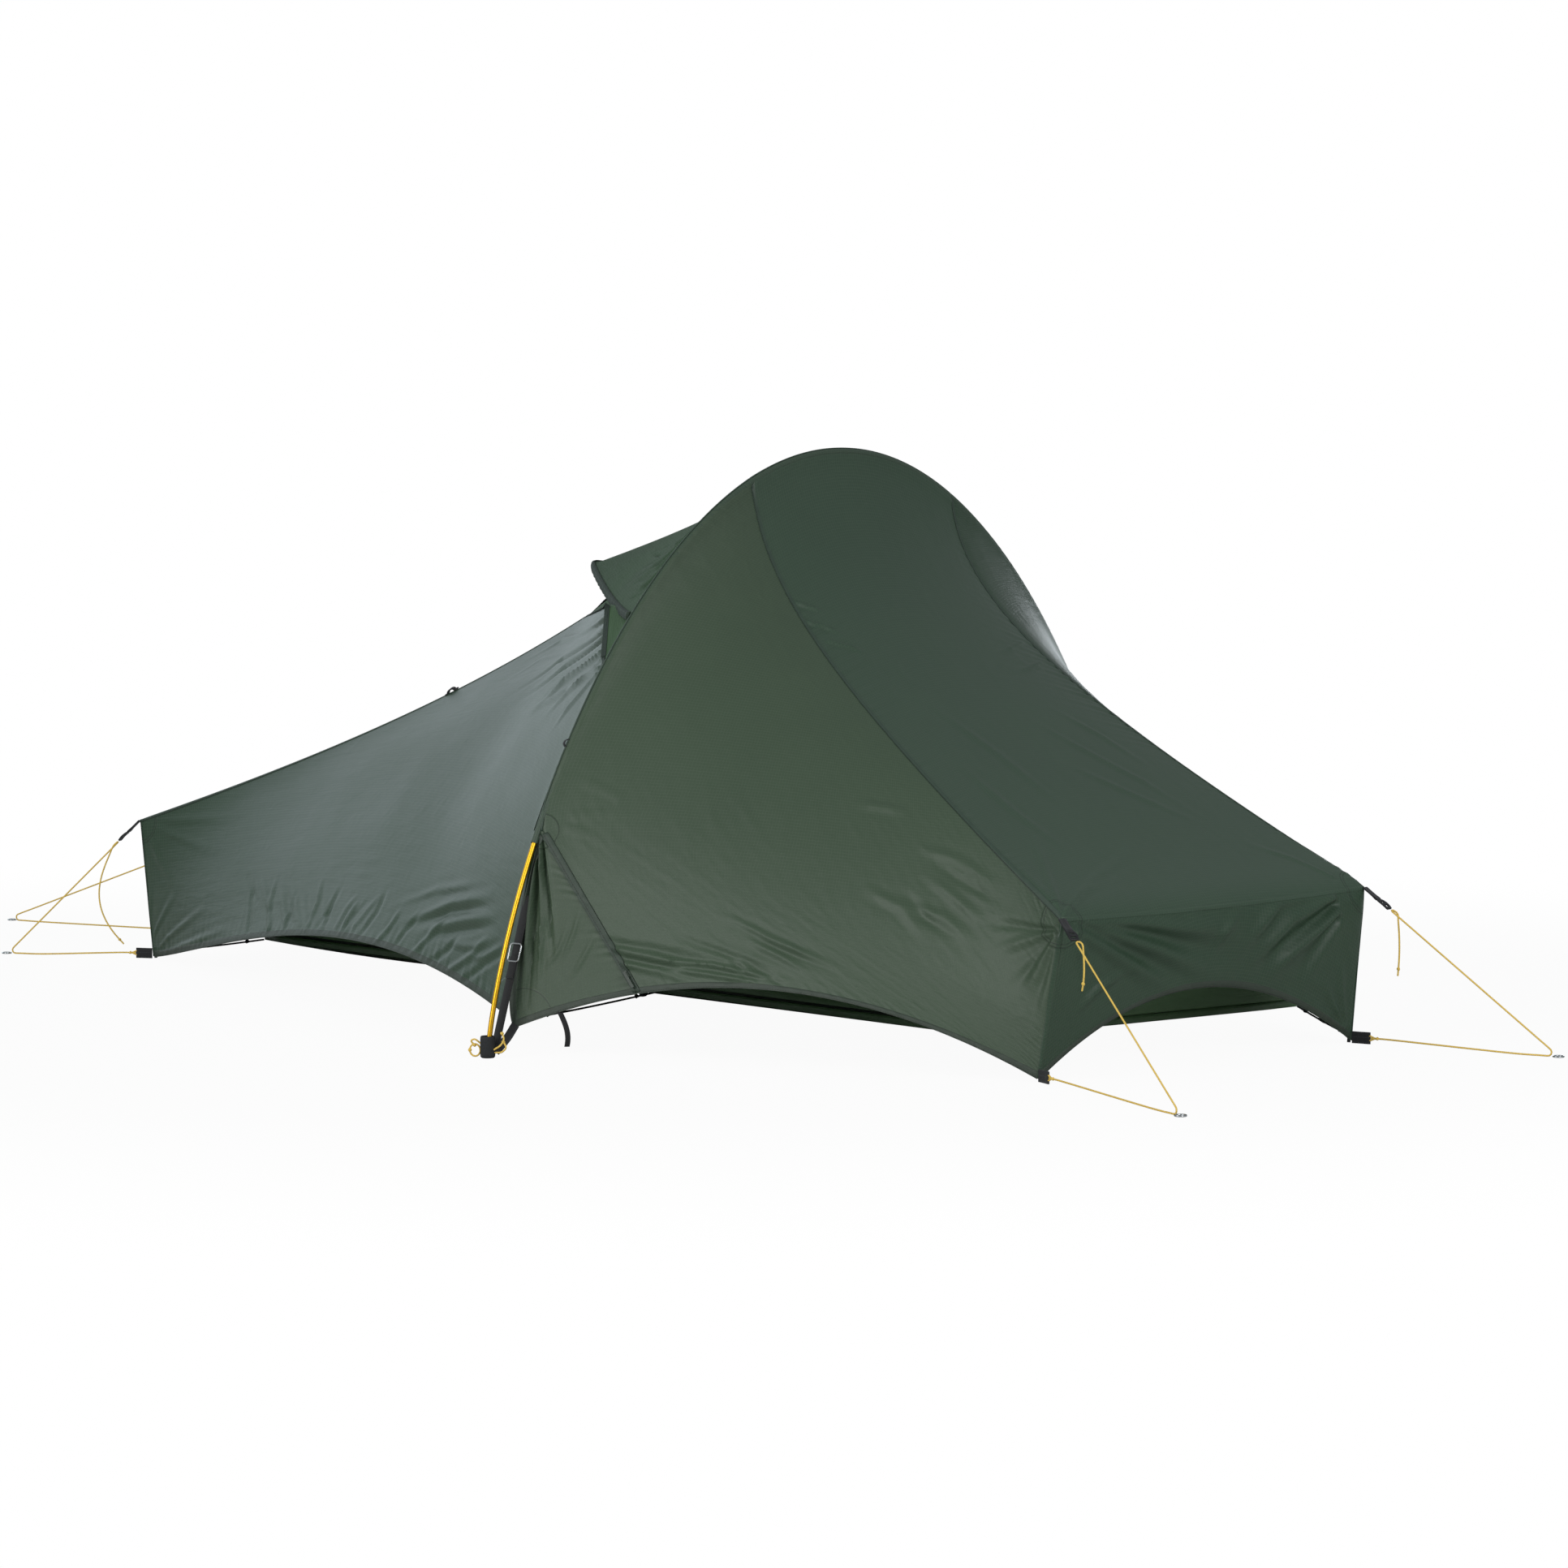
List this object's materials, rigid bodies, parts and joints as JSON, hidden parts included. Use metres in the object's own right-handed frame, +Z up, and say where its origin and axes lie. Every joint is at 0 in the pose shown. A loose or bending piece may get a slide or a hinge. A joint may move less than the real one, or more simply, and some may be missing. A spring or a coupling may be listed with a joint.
{
  "type": "backpacking tent",
  "caption": "Low backpacking tent with a cross hoop in a sleeve, narrow foot end, hooded roof vent, zipped side door, bathtub floor and pegged guy lines.",
  "frame": {"origin": "on the ground under the crown of the hoop, on the flat underside of the groundsheet", "axes": "+Z up, +X along the tent to the wide head end, -Y to the door side, the hoop stands in the plane X = 0"},
  "size_m": [3.8101, 1.8591, 1.0008],
  "materials": {
    "fly_cloth": "coated ripstop, satin",
    "door_cloth": "coated ripstop, olive, satin",
    "inner_cloth": "thin breathable cloth, matt",
    "vent_mesh": "fine knitted mesh, matt",
    "floor_cloth": "coated floor cloth, matt",
    "webbing": "woven polyester tape, matt",
    "moulded_plastic": "moulded, fine grain",
    "guy_cord": "braided cord, matt",
    "shock_cord": "sheathed stretch cord, matt",
    "pole_tube": "gold anodised, satin",
    "steel_wire": "bright wire",
    "strut_rod": "pultruded carbon rod, satin"
  },
  "bodies": {
    "shelter": {"door_gore_panel": "door_cloth", "door_panel": "door_cloth", "door_shock_cord": "shock_cord", "door_tie_strap": "webbing", "far_pole_cup": "webbing", "far_pole_strap": "webbing", "foot_end_panel": "fly_cloth", "foot_far_corner_webbing": "webbing", "foot_far_guy_line": "guy_cord", "foot_far_guy_webbing": "webbing", "foot_far_peg_ring": "steel_wire", "foot_far_strut": "strut_rod", "foot_near_corner_webbing": "webbing", "foot_near_guy_line": "guy_cord", "foot_near_guy_webbing": "webbing", "foot_near_peg_ring": "steel_wire", "foot_near_strut": "strut_rod", "foot_shock_cord": "shock_cord", "foot_side_panel_far": "fly_cloth", "foot_side_panel_near": "fly_cloth", "groundsheet": "floor_cloth", "head_end_panel": "fly_cloth", "head_far_corner_webbing": "webbing", "head_far_guy_line": "guy_cord", "head_far_guy_webbing": "webbing", "head_far_peg_ring": "steel_wire", "head_far_strut": "strut_rod", "head_near_corner_webbing": "webbing", "head_near_guy_line": "guy_cord", "head_near_guy_webbing": "webbing", "head_near_peg_ring": "steel_wire", "head_roof_panel": "fly_cloth", "head_shock_cord": "shock_cord", "head_side_panel_far": "fly_cloth", "inner_foot_wall": "inner_cloth", "inner_head_wall": "inner_cloth", "inner_wall_far": "inner_cloth", "inner_wall_near": "inner_cloth", "near_pole_cup": "webbing", "near_pole_strap": "webbing", "pole_foot_cord_loop": "guy_cord", "pole_section_1": "pole_tube", "pole_section_2": "pole_tube", "pole_section_3": "pole_tube", "pole_section_4": "pole_tube", "pole_section_5": "pole_tube", "pole_sleeve": "fly_cloth", "roof_spine_panel": "fly_cloth", "spine_guy_loop": "webbing", "vent_hood": "fly_cloth", "vent_mesh": "vent_mesh"},
    "brim": {"hood_brim": "fly_cloth"},
    "slider": {"zip_slider": "moulded_plastic"},
    "slider_pull": {"zip_pull": "moulded_plastic"},
    "near_ring": {"near_strap_ring": "steel_wire"},
    "far_ring": {"far_strap_ring": "steel_wire"},
    "foot_near_tensioner": {"foot_near_line_tensioner": "moulded_plastic"},
    "foot_far_tensioner": {"foot_far_line_tensioner": "moulded_plastic"},
    "head_near_tensioner": {"head_near_line_tensioner": "moulded_plastic"},
    "head_far_tensioner": {"head_far_line_tensioner": "moulded_plastic"}
  },
  "joints": [
    {"name": "hood_brim_tilt", "type": "hinge", "parent": "shelter", "child": "brim", "pos_m": [-0.012, 0, 0.71558], "axis": [0, -1, 0], "range_deg": [0, 3.5], "deforming": ["vent_hood"]},
    {"name": "zip_slide", "type": "slide", "parent": "shelter", "child": "slider", "axis": [-0.627, -0.0157, 0.7788], "range_m": [0, 0.27]},
    {"name": "zip_pull_swing", "type": "hinge", "parent": "slider", "child": "slider_pull", "pos_m": [0.19294, -0.79497, 0.14409], "axis": [-0.7256, -0.352, -0.5913], "range_deg": [0, 150]},
    {"name": "near_ring_swing", "type": "hinge", "parent": "shelter", "child": "near_ring", "pos_m": [-0.00132, -0.83808, 0.18275], "axis": [-1, 0, 0], "range_deg": [0, 30]},
    {"name": "far_ring_swing", "type": "hinge", "parent": "shelter", "child": "far_ring", "pos_m": [-0.00132, 0.83808, 0.18275], "axis": [1, 0, 0], "range_deg": [0, 30]},
    {"name": "foot_near_tensioner_swing", "type": "hinge", "parent": "shelter", "child": "foot_near_tensioner", "pos_m": [-1.67839, -0.18137, 0.24725], "axis": [-0.4374, 0.8993, 0], "range_deg": [-20, 20]},
    {"name": "foot_far_tensioner_swing", "type": "hinge", "parent": "shelter", "child": "foot_far_tensioner", "pos_m": [-1.68884, 0.24709, 0.26038], "axis": [-0.0855, 0.9963, 0], "range_deg": [-20, 20]},
    {"name": "head_near_tensioner_swing", "type": "hinge", "parent": "shelter", "child": "head_near_tensioner", "pos_m": [0.92704, -0.56359, 0.23927], "axis": [-0.4995, -0.8663, 0], "range_deg": [-20, 20]},
    {"name": "head_far_tensioner_swing", "type": "hinge", "parent": "shelter", "child": "head_far_tensioner", "pos_m": [1.00421, 0.20167, 0.2412], "axis": [0.057, -0.9984, 0], "range_deg": [-20, 20]}
  ]
}
